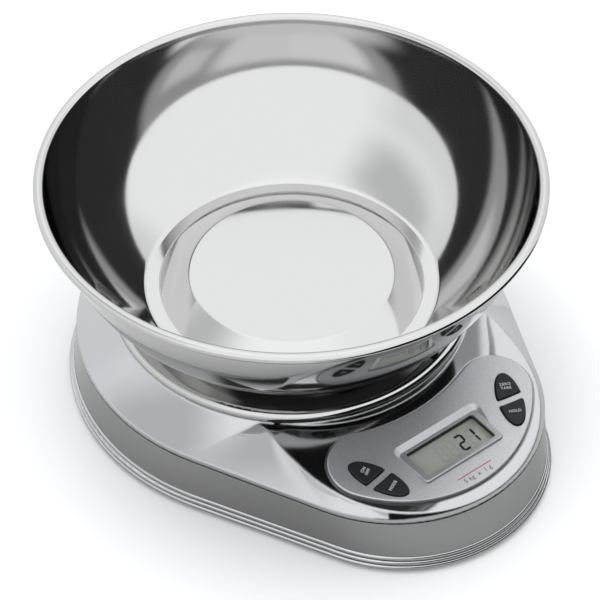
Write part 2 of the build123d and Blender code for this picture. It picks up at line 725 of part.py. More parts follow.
def display_block(grow, low):
    """The boxed housing under the window that holds the display."""
    half_x = WINDOW[0] / 2 + LCD_LEDGE + grow
    half_y = WINDOW[1] / 2 + LCD_LEDGE + grow
    return window_block(half_x, -half_y, half_y, low, 0)


def make_scoop():
    """Room cut behind the window: a level floor with leaning sides."""
    half_x = WINDOW[0] / 2 + WINDOW_RIM
    back = WINDOW[1] / 2 + 1.2
    rise = SCOOP_SPREAD * 0.75
    floor = Pos(0, WINDOW_Y - back, WINDOW_Z) * Rectangle(2 * half_x, 4 * back)
    wide = 2 * (half_x + SCOOP_SPREAD)
    long = 4 * back + SCOOP_SPREAD
    top = Pos(0, WINDOW_Y - back + SCOOP_SPREAD / 2, WINDOW_Z + rise) * Rectangle(wide, long)
    floor = fillet(floor.vertices(), 2.0)
    top = fillet(top.vertices(), 2.0 + SCOOP_SPREAD)
    return loft([floor, top], ruled=True)


def rounded_window(grow, low, high):
    """A prism on the window's rounded outline."""
    face = RectangleRounded(WINDOW[0] + 2 * grow, WINDOW[1] + 2 * grow, WINDOW_R + grow)
    return Pos(0, WINDOW_Y, WINDOW_Z + low) * extrude(face, high - low)


def make_control_panel():
    """Satin panel with a level window frame, a scoop behind it and four key holes."""
    panel = panel_prism(0, -PANEL_PROUD - PANEL_SUNK, 0)
    top = panel.faces().sort_by(Axis(PANEL_PLANE.origin, PANEL_PLANE.z_dir))[-1]
    panel = fillet(top.edges(), PANEL_ROUND)
    half_x = WINDOW[0] / 2 + WINDOW_RIM
    front = WINDOW[1] / 2 + WINDOW_RIM * 0.8
    depth = WINDOW_LIP + LENS + HOLDER_DEPTH
    frame = window_block(half_x, -front, WINDOW[1] / 2 + 1.2, -depth, 0)
    upright = frame.edges().filter_by(Axis.Z)
    frame = fillet(upright, 2.0)
    frame = fillet(frame.faces().sort_by(Axis.Z)[-1].edges(), PANEL_ROUND)
    housing = display_block(0, -depth) & panel_room()
    panel = (panel - make_scoop()) + frame + housing
    panel -= rounded_window(0, -depth, 1)
    panel -= rounded_window(LENS_LEDGE, -depth, -WINDOW_LIP)
    room_x = WINDOW[0] / 2 + LCD_LEDGE - FIT_GAP
    room_y = WINDOW[1] / 2 + LCD_LEDGE - FIT_GAP
    panel -= window_block(room_x, -room_y, room_y, -depth - LCD_GLASS, -depth)
    for side in (-1, 1):
        for upper in (True, False):
            hole = key_face(upper, KEY_GAP)
            panel -= on_panel(placed_key(hole, side, -2 * ROOF, 3 * ROOF))
    return panel


def panel_room():
    """Everything below the panel's mid depth, where the display housing may reach."""
    span = 2 * BOWL_RIM_R
    return on_panel(Pos(0, 0, -PANEL_PROUD - span / 2) * Box(span, span, span))


def make_lcd_lens():
    """Clear window that drops in under the lip."""
    return rounded_window(LENS_LEDGE - 0.1, -WINDOW_LIP - LENS, -WINDOW_LIP)


def make_lcd_holder():
    """Dark frame between the lens and the glass, open towards the contact pins."""
    low = -WINDOW_LIP - LENS - HOLDER_DEPTH
    high = -WINDOW_LIP - LENS
    return rounded_window(LENS_LEDGE - 0.1, low, high) - rounded_window(LENS_LEDGE - HOLDER_WALL, low, high)


def lcd_levels():
    """Top and bottom of the display glass below the window's face."""
    top = -WINDOW_LIP - LENS - HOLDER_DEPTH
    return top, top - LCD_GLASS


def make_lcd_glass():
    """Display cell: a front glass and a rear glass with a contact ledge at the back."""
    top, bottom = lcd_levels()
    half_x = WINDOW[0] / 2 + LCD_LEDGE - 0.4
    half_y = WINDOW[1] / 2 + LCD_LEDGE - 0.8
    mid = (top + bottom) / 2
    front = window_block(half_x, -half_y, half_y - PIN_GRIP, mid, top)
    rear = window_block(half_x, -half_y, half_y, bottom, mid)
    return front + rear


def make_lcd_pins():
    """Row of clip pins: a finger on the glass ledge and a leg down to the board."""
    top, bottom = lcd_levels()
    half_y = WINDOW[1] / 2 + LCD_LEDGE - 0.8
    mid = (top + bottom) / 2
    slope = tan(radians(PANEL_SLOPE))
    leg_y = half_y + PIN_T
    drop = BOARD_DEPTH / cos(radians(PANEL_SLOPE)) - slope * leg_y
    pins = []
    for i in range(PIN_COUNT):
        x = (i - (PIN_COUNT - 1) / 2) * PIN_PITCH
        finger = window_block(PIN_W / 2, half_y - PIN_GRIP + 0.4, leg_y, mid, mid + PIN_T)
        leg = window_block(PIN_W / 2, half_y, leg_y, -drop, mid + PIN_T)
        pins.append(Pos(x, 0, 0) * (finger + leg))
    return compound(pins)


# ---- Keys ----------------------------------------------------------------------------------
def key_face(upper, grow):
    """One key of a pair: half of a leaf, parted by a wavy web. Drawn on the leaf's own axes."""
    leaf = Ellipse(KEY_LONG + grow, KEY_SHORT + grow)
    web = KEY_SLIT - grow
    shift = web if upper else -web
    wave = Spline((shift + 2.4, -9), (shift + 0.5, -2.4), (shift - 0.7, 1.6), (shift - 2.2, 9))
    far = 3 * KEY_LONG if upper else -3 * KEY_LONG
    side = [wave, Line(wave @ 1, (far, 9)), Line((far, 9), (far, -9)), Line((far, -9), wave @ 0)]
    half = leaf & make_face(side)
    return fillet(half.vertices(), KEY_CORNER)


def placed_key(face, side, low, high):
    """A prism on a key's outline, set on the right or left half of the panel frame."""
    prism = Pos(KEY_X, KEY_S, low) * Rot(0, 0, KEY_TILT) * extrude(face, high)
    return prism if side > 0 else mirror(prism, Plane.YZ)


def make_key(side, upper):
    """Key cap with a rounded top and a flange that stops under the shell's roof."""
    flange_top = -ROOF - KEY_LIFT
    cap = extrude(key_face(upper, 0), KEY_PROUD - flange_top)
    cap = fillet(cap.faces().sort_by(Axis.Z)[-1].edges(), KEY_ROUND)
    skirt = extrude(key_face(upper, KEY_FLANGE), KEY_FLANGE_T)
    key = Pos(0, 0, flange_top) * cap + Pos(0, 0, flange_top - KEY_FLANGE_T) * skirt
    key = Pos(KEY_X, KEY_S, 0) * Rot(0, 0, KEY_TILT) * key
    key = key if side > 0 else mirror(key, Plane.YZ)
    return on_panel(key)


def key_centres():
    """Where the four keys press, on the panel frame."""
    places = []
    for side in (-1, 1):
        for upper in (True, False):
            along = KEY_LONG / 2 if upper else -KEY_LONG / 2
            x = KEY_X + along * cos(radians(KEY_TILT))
            places.append((side * x, KEY_S + along * sin(radians(KEY_TILT))))
    return places


def make_dome_pad():
    """Silicone domes on thin pads, one under each key."""
    top = -ROOF - KEY_LIFT - KEY_FLANGE_T - SCREW_GAP
    domes = []
    for x, s in key_centres():
        pad = rod(x, s, BOARD_TOP, BOARD_TOP + DOME_PAD, 1.3 * DOME_R)
        height = top - BOARD_TOP - DOME_PAD
        dome = Pos(x, s, BOARD_TOP + DOME_PAD + height / 2) * Cone(DOME_R, DOME_R * 0.6, height)
        domes.append(on_panel(pad + dome))
    return compound(domes)


# ---- Circuit board -------------------------------------------------------------------------
def pillar_places():
    """Board screws and the shell's pillars, mirrored left and right."""
    return [(side * x, s) for x, s in BOARD_SCREWS for side in (-1, 1)]


def make_circuit_board():
    """Board under the panel with its screw holes."""
    low, high = BOARD_S
    face = Pos(0, (low + high) / 2) * Rectangle(2 * BOARD_X, high - low)
    face = face & (Pos(0, PANEL_NOSE_S) * Circle(BOARD_NOSE_R))
    for x, s in pillar_places():
        face -= Pos(x, s) * Circle(SMALL_R + SCREW_GAP)
    return on_panel(Pos(0, 0, BOARD_TOP - BOARD_T) * extrude(face, BOARD_T))


def make_board_components():
    """Parts on the board's underside: controller blob, amplifier, crystal and capacitors."""
    under = BOARD_TOP - BOARD_T
    blob = Pos(0, -13, under - 0.9) * Cylinder(5.5, 1.8)
    blob = fillet(blob.edges().sort_by(Axis.Z)[0], 0.8)
    parts = [blob, box(11, 16, -16, -8, under - 1.5, under), box(-16, -11, -8, -5, under - 1.2, under)]
    for x in (-8.0, 8.0):
        parts.append(rod(x, -21, under - 6, under, 2.0))
    return compound(on_panel(part) for part in parts)


def make_board_screws():
    """Screws up through the board into the shell's pillars."""
    under = BOARD_TOP - BOARD_T
    tip = -ROOF - PANEL_SUNK
    return compound(
        on_panel(screw(x, s, under, tip, SMALL_R, SMALL_HEAD_R, SMALL_HEAD, -1))
        for x, s in pillar_places()
    )


# ---- Battery and leads ---------------------------------------------------------------------
def make_battery():
    """Nine-volt block with its two studs."""
    x, y, z = BATTERY
    mid_z = BATTERY_Z + z / 2
    x0 = BATTERY_END_X - x
    block = box(x0, BATTERY_END_X, BATTERY_Y - y / 2, BATTERY_Y + y / 2, BATTERY_Z, BATTERY_Z + z)
    block = fillet(block.edges().filter_by(Axis.X), 2.0)
    for side in (-1, 1):
        stud = Pos(BATTERY_END_X + STUD_H / 2, BATTERY_Y + side * STUD_Y, mid_z)
        block += stud * Rot(0, 90, 0) * Cylinder(STUD_R, STUD_H)
    return block


def make_battery_snap():
    """Snap connector pushed over the studs."""
    mid_z = BATTERY_Z + BATTERY[2] / 2
    x0 = BATTERY_END_X + SCREW_GAP
    x1 = BATTERY_END_X + STUD_H + 2 * DOOR_GAP
    half_y = BATTERY[1] / 2 - 1
    snap = box(x0, x1, BATTERY_Y - half_y, BATTERY_Y + half_y, mid_z - 6.2, mid_z + 6.2)
    snap = fillet(snap.edges().filter_by(Axis.X), 3.0)
    for side in (-1, 1):
        hole = Pos(BATTERY_END_X + STUD_H / 2, BATTERY_Y + side * STUD_Y, mid_z)
        snap -= hole * Rot(0, 90, 0) * Cylinder(STUD_R + SCREW_GAP, STUD_H + 2 * SCREW_GAP)
    return snap


def tube(points, radii, r):
    """A lead of straight runs and tangent arcs."""
    path = FilletPolyline(*points, radius=radii)
    start = Plane(origin=path @ 0, z_dir=path % 0)
    return sweep(start * Circle(r), path)


def board_underside(y):
    """Height of the board's underside at a distance in front of the axis."""
    slope = radians(PANEL_SLOPE)
    lowest = y - LEAD_R
    return PANEL_Z + (lowest + PANEL_Y) * tan(slope) - (BOARD_DEPTH + BOARD_T) / cos(slope)


def make_battery_lead():
    """From the snap up through the bay's roof and forward to the board."""
    x = battery_lead_x()
    snap_top = BATTERY_Z + BATTERY[2] / 2 + 6.2
    y_end = -PANEL_Y - 4.0
    z_run = PAN_TOP + BAY[2] + BAY_WALL + 3 * LEAD_R
    points = [(x, BATTERY_Y, snap_top), (x, BATTERY_Y, z_run), (x, BATTERY_Y - 24, z_run)]
    points += [(x, y_end, z_run - 9), (x, y_end, board_underside(y_end))]
    return tube(points, [3.2, 10.0, 3.5], LEAD_R)


def make_cell_lead():
    """From the beam's fixed end forward over the battery bay to the board."""
    x = -HUB_X / 2
    z = CELL_Z + CELL_SIDE / 2
    y_end = -PANEL_Y - 1.5
    z_run = PAN_TOP + BAY[2] + BAY_WALL + 3 * LEAD_R
    points = [(x, -CELL_SIDE / 2, z), (x, -26, z), (x + 2, -76, z_run)]
    points += [(x, y_end, z_run - 9), (x, y_end, board_underside(y_end))]
    return tube(points, [40.0, 10.0, 3.5], LEAD_R)


MAKERS = {
    "bowl": make_bowl,
    "weighing_tray": make_weighing_tray,
    "tray_carrier": make_tray_carrier,
    "load_cell": make_load_cell,
    "gauge_covers": make_gauge_covers,
    "cell_spacer_upper": lambda: spacer(1, CELL_TOP),
    "cell_spacer_lower": lambda: spacer(-1, CELL_Z - SPACER),
    "cell_screws_upper": make_cell_screws_upper,
    "cell_screws_lower": make_cell_screws_lower,
    "base_trim": make_base_trim,
    "skirt_band": make_skirt_band,
    "base_pan": make_base_pan,
    "battery_door": make_battery_door,
    "rubber_feet": make_rubber_feet,
    "base_screws": make_base_screws,
    "top_shell": make_top_shell,
    "control_panel": make_control_panel,
    "lcd_lens": make_lcd_lens,
    "lcd_holder": make_lcd_holder,
    "lcd_glass": make_lcd_glass,
    "lcd_pins": make_lcd_pins,
    "button_on_off": lambda: make_key(-1, True),
    "button_mode": lambda: make_key(-1, False),
    "button_zero": lambda: make_key(1, True),
    "button_hold": lambda: make_key(1, False),
    "dome_pad": make_dome_pad,
    "circuit_board": make_circuit_board,
    "board_components": make_board_components,
    "board_screws": make_board_screws,
    "battery": make_battery,
    "battery_snap": make_battery_snap,
    "battery_lead": make_battery_lead,
    "cell_lead": make_cell_lead,
}

for node, maker in MAKERS.items():
    save(node, maker())
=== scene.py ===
"""Looks for a kitchen scale with a lift-off bowl: finishes, display, legends and studio."""

import json
import logging
import math
from dataclasses import dataclass, field
from enum import Enum
from typing import Any, Optional

import bmesh
import bpy
from mathutils import Matrix, Vector

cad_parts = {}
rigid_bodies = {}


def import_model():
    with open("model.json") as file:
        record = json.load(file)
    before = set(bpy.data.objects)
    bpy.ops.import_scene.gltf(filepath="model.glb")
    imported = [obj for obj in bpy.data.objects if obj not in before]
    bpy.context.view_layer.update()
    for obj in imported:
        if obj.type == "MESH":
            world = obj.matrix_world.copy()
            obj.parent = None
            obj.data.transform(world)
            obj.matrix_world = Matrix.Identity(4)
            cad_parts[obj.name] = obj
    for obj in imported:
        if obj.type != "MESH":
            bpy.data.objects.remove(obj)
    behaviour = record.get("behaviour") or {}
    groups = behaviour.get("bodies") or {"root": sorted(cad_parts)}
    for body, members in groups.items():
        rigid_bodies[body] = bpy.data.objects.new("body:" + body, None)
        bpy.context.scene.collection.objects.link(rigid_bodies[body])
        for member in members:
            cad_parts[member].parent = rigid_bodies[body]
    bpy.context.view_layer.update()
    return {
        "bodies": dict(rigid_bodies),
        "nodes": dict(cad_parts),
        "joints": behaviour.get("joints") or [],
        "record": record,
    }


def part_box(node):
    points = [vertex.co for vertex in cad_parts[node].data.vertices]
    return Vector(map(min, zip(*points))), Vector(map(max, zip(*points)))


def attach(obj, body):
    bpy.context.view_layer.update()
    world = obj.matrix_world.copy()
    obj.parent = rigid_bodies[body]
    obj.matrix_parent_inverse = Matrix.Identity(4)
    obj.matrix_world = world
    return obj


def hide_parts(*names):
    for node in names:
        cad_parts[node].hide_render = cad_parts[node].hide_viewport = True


LOG = logging.getLogger("kitchen_scale")
MM = 0.001
TOP_FACE_DOT = 0.99  # how nearly a face must point off the panel to count as a key's top
DISTINCT = 0.005 * MM  # points closer than this are one


def linear(code: str) -> tuple[float, float, float, float]:
    """Turn an sRGB hex colour into linear light.

    Args:
        code: six hex digits, such as "c8c8c8".

    Returns:
        Red, green, blue and a full alpha.
    """
    parts = [int(code[i : i + 2], 16) / 255 for i in (0, 2, 4)]
    light = [p / 12.92 if p <= 0.04045 else ((p + 0.055) / 1.055) ** 2.4 for p in parts]
    return (light[0], light[1], light[2], 1.0)


def add_node(
    tree: bpy.types.NodeTree,
    kind: str,
    settings: Optional[dict[str, Any]] = None,
    values: Optional[dict[Any, Any]] = None,
    links: Optional[dict[Any, Any]] = None,
) -> bpy.types.Node:
    """Add a shader node with its settings, socket values and incoming links.

    Args:
        tree: the node tree to add to.
        kind: the node's type name without its "ShaderNode" prefix.
        settings: attributes of the node itself.
        values: input socket name or number to its value.
        links: input socket name or number to the output socket that feeds it.

    Returns:
        The new node.
    """
    node = tree.nodes.new("ShaderNode" + kind)
    for name, value in (settings or {}).items():
        setattr(node, name, value)
    for socket, value in (values or {}).items():
        node.inputs[socket].default_value = value
    for socket, source in (links or {}).items():
        tree.links.new(source, node.inputs[socket])
    return node


class Texture(Enum):
    """How a surface was made, which decides the relief it is given."""

    PLAIN = "plain"
    SPUN = "spun"
    PEEL = "peel"
    METAL_FLAKE = "metal flake"
    SPARK = "spark"
    MOULDED = "moulded"
    CAST = "cast"
    MILLED = "milled"


@dataclass(frozen=True)
class Finish:
    """One real material and surface, as a node material.

    The relief sizes are real ones in millimetres, drawn a little coarse where the real
    grain would be too fine to see.
    """

    name: str
    colour: str
    roughness: float
    metallic: float = 0.0
    ior: float = 1.5
    texture: Texture = Texture.PLAIN
    grain_mm: float = 0.4
    relief_mm: float = 0.01
    mottle: float = 0.0
    coat: float = 0.0
    transmission: float = 0.0
    edge_mm: float = 0.0
    centre: tuple[float, float] = (0.0, 0.0)

    def material(self) -> bpy.types.Material:
        """Build the material.

        Returns:
            A node material with its relief on Object coordinates.
        """
        material = bpy.data.materials.new(self.name)
        material.use_nodes = True
        tree = material.node_tree
        tree.nodes.clear()
        shader = add_node(
            tree,
            "BsdfPrincipled",
            values={
                "Base Color": linear(self.colour),
                "Roughness": self.roughness,
                "Metallic": self.metallic,
                "Coat Weight": self.coat,
                "Coat Roughness": 0.05,
                "Transmission Weight": self.transmission,
            },
        )
        if self.metallic < 0.5:
            shader.inputs["IOR"].default_value = self.ior
        add_node(tree, "OutputMaterial", links={"Surface": shader.outputs["BSDF"]})
        place = add_node(tree, "TexCoord").outputs["Object"]
        self.add_relief(tree, shader, place)
        self.add_mottle(tree, shader, place)
        return material

    def add_relief(
        self, tree: bpy.types.NodeTree, shader: bpy.types.Node, place: bpy.types.NodeSocket
    ) -> None:
        """Add the surface's relief to the shader's normal.

        Args:
            tree: the material's node tree.
            shader: the surface shader.
            place: the Object coordinates.
        """
        rounded = None
        if self.edge_mm:
            bevel = add_node(
                tree, "Bevel", {"samples": 6}, values={"Radius": self.edge_mm * MM}
            )
            rounded = bevel.outputs["Normal"]
        if self.texture is Texture.PLAIN:
            if rounded:
                tree.links.new(rounded, shader.inputs["Normal"])
            return
        height = self.height_socket(tree, place)
        links = {"Height": height}
        if rounded:
            links["Normal"] = rounded
        bump = add_node(
            tree, "Bump", values={"Distance": self.relief_mm * MM, "Strength": 1.0}, links=links
        )
        tree.links.new(bump.outputs["Normal"], shader.inputs["Normal"])

    def height_socket(
        self, tree: bpy.types.NodeTree, place: bpy.types.NodeSocket
    ) -> bpy.types.NodeSocket:
        """The height field of the relief.

        Args:
            tree: the material's node tree.
            place: the Object coordinates.

        Returns:
            The socket that gives the height.
        """
        scale = 1.0 / (self.grain_mm * MM)
        if self.texture is Texture.SPUN:
            # A lathe leaves rings, so the height depends on the distance from the axis.
            shift = (-self.centre[0], -self.centre[1], 0.0)
            moved = add_node(
                tree, "VectorMath", {"operation": "ADD"}, {1: shift}, {0: place}
            )
            flat = add_node(
                tree,
                "VectorMath",
                {"operation": "MULTIPLY"},
                {1: (1.0, 1.0, 0.35)},
                {0: moved.outputs[0]},
            )
            reach = add_node(
                tree, "VectorMath", {"operation": "LENGTH"}, links={0: flat.outputs[0]}
            )
            rings = add_node(
                tree,
                "TexNoise",
                {"noise_dimensions": "1D"},
                {"Scale": scale, "Detail": 2.0},
                {"W": reach.outputs["Value"]},
            )
            return rings.outputs["Fac"]
        if self.texture is Texture.MILLED:
            across = add_node(
                tree, "Mapping", values={"Scale": (scale * 0.1, scale, scale)}, links={0: place}
            )
            lines = add_node(
                tree, "TexNoise", values={"Scale": 1.0, "Detail": 3.0}, links={0: across.outputs[0]}
            )
            return lines.outputs["Fac"]
        if self.texture is Texture.SPARK:
            cells = add_node(
                tree, "TexVoronoi", values={"Scale": scale}, links={"Vector": place}
            )
            return cells.outputs["Distance"]
        detail = {Texture.PEEL: 0.0, Texture.METAL_FLAKE: 5.0, Texture.MOULDED: 2.0}
        noise = add_node(
            tree,
            "TexNoise",
            values={"Scale": scale, "Detail": detail.get(self.texture, 3.0)},
            links={"Vector": place},
        )
        return noise.outputs["Fac"]

    def add_mottle(
        self, tree: bpy.types.NodeTree, shader: bpy.types.Node, place: bpy.types.NodeSocket
    ) -> None:
        """Vary the roughness a little, as handling and uneven polish do.

        Args:
            tree: the material's node tree.
            shader: the surface shader.
            place: the Object coordinates.
        """
        if not self.mottle:
            return
        noise = add_node(
            tree, "TexNoise", values={"Scale": 35.0, "Detail": 4.0}, links={"Vector": place}
        )
        spread = add_node(
            tree,
            "MapRange",
            values={
                "From Min": 0.3,
                "From Max": 0.7,
                "To Min": max(0.0, self.roughness - self.mottle),
                "To Max": self.roughness + self.mottle,
            },
            links={"Value": noise.outputs["Fac"]},
        )
        tree.links.new(spread.outputs["Result"], shader.inputs["Roughness"])


@dataclass(frozen=True)
class FlakePaint(Finish):
    """Silver metallic lacquer: a grey base full of small flakes that glint one by one."""

    flake_mm: float = 0.35
    flake_depth: float = 0.12

    def material(self) -> bpy.types.Material:
        """Build the lacquer with its flakes.

        Returns:
            A node material whose colour varies flake by flake.
        """
        material = super().material()
        tree = material.node_tree
        shader = next(n for n in tree.nodes if n.type == "BSDF_PRINCIPLED")
        place = add_node(tree, "TexCoord").outputs["Object"]
        cells = add_node(
            tree,
            "TexVoronoi",
            values={"Scale": 1.0 / (self.flake_mm * MM)},
            links={"Vector": place},
        )
        base = linear(self.colour)
        low = [c * (1 - self.flake_depth) for c in base[:3]] + [1.0]
        high = [min(1.0, c * (1 + self.flake_depth)) for c in base[:3]] + [1.0]
        mix = add_node(
            tree,
            "Mix",
            {"data_type": "RGBA"},
            {6: low, 7: high},
            {0: cells.outputs["Color"]},
        )
        tree.links.new(mix.outputs[2], shader.inputs["Base Color"])
        return material


FINISHES: dict[str, Finish] = {
    # Spun stainless steel, polished to a mirror: faint lathe rings only.
    "polished_steel": Finish(
        "spun_stainless_mirror", "c9c9c8", 0.075, 1.0, texture=Texture.SPUN, grain_mm=0.9,
        relief_mm=0.0009, mottle=0.02, centre=(0.0, 0.01725),
    ),
    # Pressed stainless sheet, polished: the same rings, a little softer.
    "tray_steel": Finish(
        "pressed_stainless", "c4c4c3", 0.06, 1.0, texture=Texture.SPUN, grain_mm=0.8,
        relief_mm=0.0006, mottle=0.015, centre=(0.0, 0.01725),
    ),
    # Chrome plate over moulded plastic: a mirror with a faint peel from the moulding under it.
    "deck_chrome": Finish(
        "chrome_on_moulding", "c0c1c3", 0.06, 1.0, texture=Texture.PEEL, grain_mm=6.0,
        relief_mm=0.012, edge_mm=1.6,
    ),
    # Chrome plate left slightly satin, which blurs what it reflects; its base colour is set darker
    # than chrome's own as painted shade for the shadowed floor it reflects, so it reads as one soft
    # grey band.
    "skirt_chrome": Finish(
        "satin_chrome_painted_shade", "9d9d9d", 0.2, 1.0, texture=Texture.PEEL, grain_mm=5.0,
        relief_mm=0.01, edge_mm=0.3,
    ),
    # Chrome plate on the stepped foot ring: bright lines between dark grooves.
    "chrome_trim": Finish("bright_chrome_beads", "c2c3c4", 0.06, 1.0, edge_mm=0.1),
    # Silver lacquer with metal flake: a fine sparkle over a satin grey.
    "satin_panel": FlakePaint(
        "silver_flake_lacquer", "c2c3c6", 0.4, 0.8, texture=Texture.METAL_FLAKE, grain_mm=0.5,
        relief_mm=0.02, edge_mm=0.25,
    ),
    # Moulded silicone keys: dull black with a soft grain.
    "black_key": Finish(
        "key_silicone", "15171a", 0.5, texture=Texture.CAST, grain_mm=0.25, relief_mm=0.008,
        ior=1.43, edge_mm=0.3,
    ),
    # Cast clear acrylic: a water-white window with a hard gloss.
    "clear_lens": Finish("cast_acrylic", "fbfcfb", 0.01, transmission=1.0, ior=1.49),
    # Reflective liquid-crystal cell: a grey-green paper-like layer under glass.
    "display_glass": Finish(
        "crystal_cell", "d8d9d2", 0.35, texture=Texture.CAST, grain_mm=0.3, relief_mm=0.002,
        coat=0.6, ior=1.52,
    ),
    # Tinned spring wire: pale, slightly dull ticks.
    "tinned_pins": Finish("tinned_wire", "dedbd4", 0.45, 0.6, texture=Texture.MILLED),
    # Moulded black ABS: a dark, even surround that stays in the background.
    "black_plastic": Finish(
        "moulded_black", "0e0f10", 0.45, texture=Texture.MOULDED, grain_mm=0.3, relief_mm=0.01
    ),
    # Spark-eroded mould texture on grey ABS: an even, dull grain.
    "grey_plastic": Finish(
        "textured_abs", "7d8083", 0.55, texture=Texture.SPARK, grain_mm=0.6, relief_mm=0.03,
        edge_mm=0.3, ior=1.54,
    ),
    # Uncoloured moulded ABS: creamy and faintly grained.
    "carrier_plastic": Finish(
        "moulded_natural_abs", "cfccc2", 0.5, texture=Texture.MOULDED, grain_mm=0.5,
        relief_mm=0.015, ior=1.54,
    ),
    # Milled aluminium: fine straight cutter lines along the beam.
    "aluminium": Finish(
        "milled_aluminium", "c6c7c9", 0.3, 1.0, texture=Texture.MILLED, grain_mm=0.3,
        relief_mm=0.004,
    ),
    # Zinc-plated steel: a slightly warm, uneven shine.
    "steel_screw": Finish(
        "zinc_plated_steel", "b6b5ae", 0.3, 1.0, texture=Texture.CAST, grain_mm=0.5,
        relief_mm=0.006, mottle=0.08,
    ),
    # Moulded rubber: dull black with a soft grain.
    "foot_rubber": Finish(
        "moulded_rubber", "1b1b1c", 0.75, texture=Texture.CAST, grain_mm=0.4, relief_mm=0.02,
        ior=1.52,
    ),
    # Sealant laid on by hand over the gauges: lumpy and satin.
    "gauge_silicone": Finish(
        "gauge_sealant", "d8d5c6", 0.35, texture=Texture.CAST, grain_mm=2.0, relief_mm=0.05,
        ior=1.43,
    ),
    # Moulded silicone domes: pale and soft-looking.
    "dome_silicone": Finish(
        "dome_silicone_rubber", "c9c9c3", 0.45, texture=Texture.CAST, relief_mm=0.01, ior=1.43
    ),
    # Solder mask over laminate: glossy green with a little of the weave's relief.
    "board_green": Finish(
        "solder_mask", "12583a", 0.3, texture=Texture.MOULDED, grain_mm=0.7, relief_mm=0.01,
        coat=0.3,
    ),
    # Moulded epoxy packages: black and lightly grained.
    "component_black": Finish(
        "moulded_epoxy", "141414", 0.4, texture=Texture.MOULDED, relief_mm=0.01
    ),
    # Lacquer over a steel jacket: dark, with a shallow peel in its gloss.
    "battery_body": Finish(
        "lacquered_steel_jacket", "26282c", 0.3, coat=0.5, texture=Texture.PEEL, grain_mm=3.0,
        relief_mm=0.01,
    ),
    # Extruded PVC: smooth red with a low shine.
    "lead_insulation": Finish(
        "lead_pvc", "9c1f1c", 0.4, texture=Texture.CAST, relief_mm=0.01, ior=1.53
    ),
}

# Crystals switched on read near black; switched off they are only a shade off the cell.
CRYSTAL_DARK = Finish("crystal_on", "23272a", 0.4, coat=0.4)
CRYSTAL_GHOST = Finish("crystal_off", "cdcec7", 0.4, coat=0.4)
# Pad-printed inks: thin, matt and slightly softer than pure white, grey and red.
LEGEND_INK = Finish("white_pad_print", "d9dadb", 0.6)
MARK_INK = Finish("grey_pad_print", "3a3c40", 0.5)
ACCENT_INK = Finish("red_pad_print", "a8353a", 0.5)
# Background paper and the cloth of the flag: both without shine.
FLOOR_PAPER = Finish("studio_paper", "f4f4f4", 0.9)
FLAG_CLOTH = Finish("black_flag_cloth", "070707", 0.95)


class Ink:
    """Materials made once and shared between pieces."""

    def __init__(self) -> None:
        """Start with nothing made."""
        self.made: dict[str, bpy.types.Material] = {}

    def get(self, finish: Finish) -> bpy.types.Material:
        """The material of a finish, made when first asked for.

        Args:
            finish: the finish wanted.

        Returns:
            Its material.
        """
        if finish.name not in self.made:
            self.made[finish.name] = finish.material()
        return self.made[finish.name]


def new_piece(
    name: str, mesh: bmesh.types.BMesh, material: bpy.types.Material, smooth: bool = False
) -> bpy.types.Object:
    """Make an object at the origin from a finished bmesh.

    Args:
        name: the piece's name.
        mesh: the bmesh, which is freed.
        material: its finish.
        smooth: whether its faces are shaded smooth.

    Returns:
        The linked object.
    """
    bmesh.ops.recalc_face_normals(mesh, faces=mesh.faces)
    data = bpy.data.meshes.new(name)
    mesh.to_mesh(data)
    mesh.free()
    for face in data.polygons:
        face.use_smooth = smooth
    data.materials.append(material)
    piece = bpy.data.objects.new(name, data)
    bpy.context.scene.collection.objects.link(piece)
    return piece


@dataclass
class PanelPlane:
    """The sloping face of the control panel, read from the keys' joints and meshes."""

    frame: dict[str, Any]
    key_proud: float = 1.0 * MM
    normal: Vector = field(init=False)
    uphill: Vector = field(init=False)
    origin: Vector = field(init=False)

    def __post_init__(self) -> None:
        """Find the plane under the keys' tops."""
        joint = next(j for j in self.frame["joints"] if j["name"] == "zero_press")
        self.normal = Vector(joint["axis"]).normalized()
        self.uphill = self.normal.cross(Vector((1.0, 0.0, 0.0))).normalized()
        if self.uphill.y < 0:
            self.uphill.negate()
        key = self.frame["nodes"]["button_zero"].data.vertices
        level = max(self.normal.dot(v.co) for v in key) - self.key_proud
        low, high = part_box("lcd_lens")
        middle = (low + high) / 2
        self.origin = middle + self.normal * (level - self.normal.dot(middle))

    def place(self, x: float, s: float, turn: float, lift: float) -> Matrix:
        """A placement on the panel.

        Args:
            x: metres right of the window's centre.
            s: metres up the slope from the window's centre.
            turn: degrees turned on the panel, anticlockwise.
            lift: metres above the panel's face.

        Returns:
            The matrix that carries a flat mesh drawn about the origin there.
        """
        spot = self.origin + Vector((x, 0, 0)) + self.uphill * s + self.normal * lift
        basis = Matrix(
            (
                (1.0, self.uphill.x, self.normal.x),
                (0.0, self.uphill.y, self.normal.y),
                (0.0, self.uphill.z, self.normal.z),
            )
        ).to_4x4()
        return Matrix.Translation(spot) @ basis @ Matrix.Rotation(math.radians(turn), 4, "Z")


class KeyFunction(Enum):
    """What each key does: its node, body, words and the way its words lie."""

    ON_OFF = ("button_on_off", "key_on_off", "ON\nOFF", 25.4)
    MODE = ("button_mode", "key_mode", "MODE", 25.4)
    ZERO = ("button_zero", "key_zero", "ZERO\nTARE", -25.4)
    HOLD = ("button_hold", "key_hold", "HOLD", -25.4)


